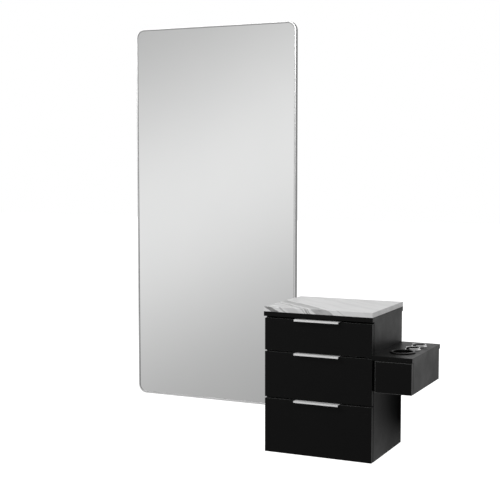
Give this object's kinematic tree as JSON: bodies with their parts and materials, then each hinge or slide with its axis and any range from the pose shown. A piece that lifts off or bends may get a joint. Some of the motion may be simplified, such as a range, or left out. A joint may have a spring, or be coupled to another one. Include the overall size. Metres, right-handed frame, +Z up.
{
  "type": "salon styling station",
  "caption": "Wall-hung styling station: tall framed mirror, floating black drawer cabinet under a veined stone slab, and a side box with rings for a dryer and irons.",
  "frame": {"origin": "middle of the screw line of the cabinet's wall bar, on the wall plane", "axes": "+X to the viewer's right along the wall, +Y into the wall, +Z up; the drawers open towards -Y"},
  "size_m": [1.41, 0.396, 1.753],
  "materials": {
    "silvered_glass": "silvered float glass",
    "polished_frame": "polished",
    "backing_board": "raw fibreboard",
    "bar_aluminium": "mill finish",
    "rubber_pad": "matt",
    "marble": "honed, white with grey veins",
    "beech": "raw",
    "zinc_fastener": "zinc plated",
    "slide_steel": "zinc plated",
    "satin_pull": "satin anodised",
    "drawer_box_board": "black foil on board",
    "drawer_bottom_board": "black foil on thin board",
    "hinge_steel": "black oxide",
    "catch_plastic": "moulded",
    "black_ring": "moulded",
    "chrome_cup": "bright plated",
    "black_board": "satin black laminate on board"
  },
  "bodies": {
    "root": {"mirror_glass": "silvered_glass", "mirror_frame": "polished_frame", "mirror_backing_board": "backing_board", "mirror_hanging_bars": "bar_aluminium", "mirror_wall_bars": "bar_aluminium", "mirror_bar_screws": "zinc_fastener", "mirror_bumpers": "rubber_pad", "marble_top": "marble", "sub_top": "black_board", "left_side_panel": "black_board", "right_side_panel": "black_board", "bottom_panel": "black_board", "back_panel": "black_board", "cabinet_hanging_bar": "bar_aluminium", "cabinet_wall_bar": "bar_aluminium", "lower_wall_spacer": "black_board", "panel_dowels": "beech", "carcass_screws": "zinc_fastener", "top_slide_outers": "slide_steel", "middle_slide_outers": "slide_steel", "bottom_slide_outers": "slide_steel", "tool_box_left_panel": "black_board", "tool_box_right_panel": "black_board", "tool_box_bottom": "black_board", "tool_box_back": "black_board", "tool_box_lid_plate": "black_board", "door_hinge_fixed_leaf": "hinge_steel", "door_hinge_pin": "hinge_steel", "door_catch": "catch_plastic", "dryer_ring": "black_ring", "front_iron_cup": "chrome_cup", "rear_iron_cup": "chrome_cup", "tool_box_bolts": "zinc_fastener"},
    "top_drawer": {"top_drawer_front": "black_board", "top_drawer_handle": "satin_pull", "top_drawer_sides": "drawer_box_board", "top_drawer_ends": "drawer_box_board", "top_drawer_bottom": "drawer_bottom_board", "top_drawer_screws": "zinc_fastener", "top_slide_inners": "slide_steel"},
    "top_slide_carriage": {"top_slide_middles": "slide_steel"},
    "middle_drawer": {"middle_drawer_front": "black_board", "middle_drawer_handle": "satin_pull", "middle_drawer_sides": "drawer_box_board", "middle_drawer_ends": "drawer_box_board", "middle_drawer_bottom": "drawer_bottom_board", "middle_drawer_screws": "zinc_fastener", "middle_slide_inners": "slide_steel"},
    "middle_slide_carriage": {"middle_slide_middles": "slide_steel"},
    "bottom_drawer": {"bottom_drawer_front": "black_board", "bottom_drawer_handle": "satin_pull", "bottom_drawer_sides": "drawer_box_board", "bottom_drawer_ends": "drawer_box_board", "bottom_drawer_bottom": "drawer_bottom_board", "bottom_drawer_screws": "zinc_fastener", "bottom_slide_inners": "slide_steel"},
    "bottom_slide_carriage": {"bottom_slide_middles": "slide_steel"},
    "box_door": {"tool_box_door": "black_board", "door_hinge_moving_leaf": "hinge_steel", "door_strike_plate": "zinc_fastener"}
  },
  "joints": [
    {"name": "top_drawer_slide", "type": "slide", "parent": "root", "child": "top_drawer", "axis": [0, -1, 0], "range_m": [0, 0.3]},
    {"name": "top_carriage_slide", "type": "slide", "parent": "root", "child": "top_slide_carriage", "axis": [0, -1, 0], "range_m": [0, 0.15]},
    {"name": "middle_drawer_slide", "type": "slide", "parent": "root", "child": "middle_drawer", "axis": [0, -1, 0], "range_m": [0, 0.3]},
    {"name": "middle_carriage_slide", "type": "slide", "parent": "root", "child": "middle_slide_carriage", "axis": [0, -1, 0], "range_m": [0, 0.15]},
    {"name": "bottom_drawer_slide", "type": "slide", "parent": "root", "child": "bottom_drawer", "axis": [0, -1, 0], "range_m": [0, 0.3]},
    {"name": "bottom_carriage_slide", "type": "slide", "parent": "root", "child": "bottom_slide_carriage", "axis": [0, -1, 0], "range_m": [0, 0.15]},
    {"name": "box_door_hinge", "type": "hinge", "parent": "root", "child": "box_door", "pos_m": [0.3055, -0.36, -0.2342], "axis": [1, 0, 0], "range_deg": [0, 180]}
  ],
  "couplings": [
    {"joint": "top_carriage_slide", "follows": "top_drawer_slide", "ratio": 0.5},
    {"joint": "middle_carriage_slide", "follows": "middle_drawer_slide", "ratio": 0.5},
    {"joint": "bottom_carriage_slide", "follows": "bottom_drawer_slide", "ratio": 0.5}
  ]
}
